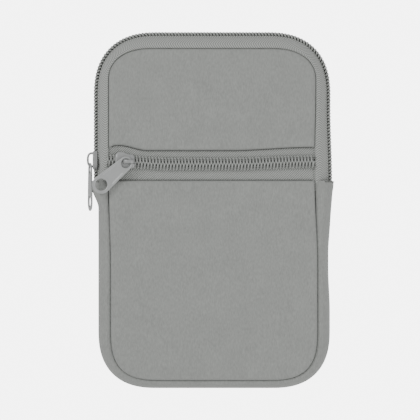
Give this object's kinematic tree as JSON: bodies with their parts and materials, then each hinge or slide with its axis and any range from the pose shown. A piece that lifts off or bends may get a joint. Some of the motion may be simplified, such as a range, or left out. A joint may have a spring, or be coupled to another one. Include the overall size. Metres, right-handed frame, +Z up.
{
  "type": "neck pouch wallet",
  "caption": "Slim padded pouch worn on a neck cord, with a zipped main compartment, a zipped front pocket and cord loops on its back.",
  "frame": {"origin": "midway between the two cord loops on the back, in the middle of their openings, where the neck cord holds the pouch", "axes": "+Z up along the hanging pouch, -Y out of its front, +X to the right seen from the front"},
  "size_m": [0.1142, 0.0263, 0.1644],
  "materials": {
    "padded_fabric": "matte knitted face over thin foam",
    "lining_fabric": "plain woven lining",
    "zip_tape": "twill woven tape",
    "zip_coil": "dyed nylon coil",
    "painted_metal": "satin grey paint"
  },
  "bodies": {
    "pouch": {"back_panel": "padded_fabric", "back_lining": "lining_fabric", "inner_slip_pocket": "lining_fabric", "pocket_divider": "lining_fabric", "lower_front_panel": "padded_fabric", "gusset": "padded_fabric", "main_zip_rear_tape": "zip_tape", "main_zip_rear_coil": "zip_coil", "main_zip_left_end_tape": "zip_tape", "main_zip_left_end_coil": "zip_coil", "main_zip_right_end_tape": "zip_tape", "main_zip_right_end_coil": "zip_coil", "pocket_zip_upper_tape": "zip_tape", "pocket_zip_lower_tape": "zip_tape", "pocket_zip_upper_coil": "zip_coil", "pocket_zip_lower_coil": "zip_coil", "left_cord_loop": "zip_tape", "right_cord_loop": "zip_tape"},
    "front_flap": {"upper_front_panel": "padded_fabric", "flap_lining": "lining_fabric", "main_zip_front_tape": "zip_tape", "main_zip_front_coil": "zip_coil"},
    "main_slider": {"main_slider_body": "painted_metal"},
    "main_pull": {"main_pull_tab": "painted_metal"},
    "pocket_slider": {"pocket_slider_body": "painted_metal"},
    "pocket_pull": {"pocket_pull_tab": "painted_metal"}
  },
  "joints": [
    {"name": "flap_fold", "type": "hinge", "parent": "pouch", "child": "front_flap", "pos_m": [0, -0.0197, -0.03], "axis": [1, 0, 0], "range_deg": [0, 90]},
    {"name": "main_slider_travel", "type": "slide", "parent": "pouch", "child": "main_slider", "axis": [0, 0, 1], "range_m": [0, 0.028]},
    {"name": "main_pull_swing", "type": "hinge", "parent": "main_slider", "child": "main_pull", "pos_m": [-0.05675, -0.0111, -0.0384], "axis": [0, 1, 0], "range_deg": [0, 140]},
    {"name": "pocket_slider_travel", "type": "slide", "parent": "pouch", "child": "pocket_slider", "axis": [1, 0, 0], "range_m": [0, 0.08]},
    {"name": "pocket_pull_swing", "type": "hinge", "parent": "pocket_slider", "child": "pocket_pull", "pos_m": [-0.0372, -0.0214, -0.0383], "axis": [0, 0, 1], "range_deg": [0, 140]}
  ]
}
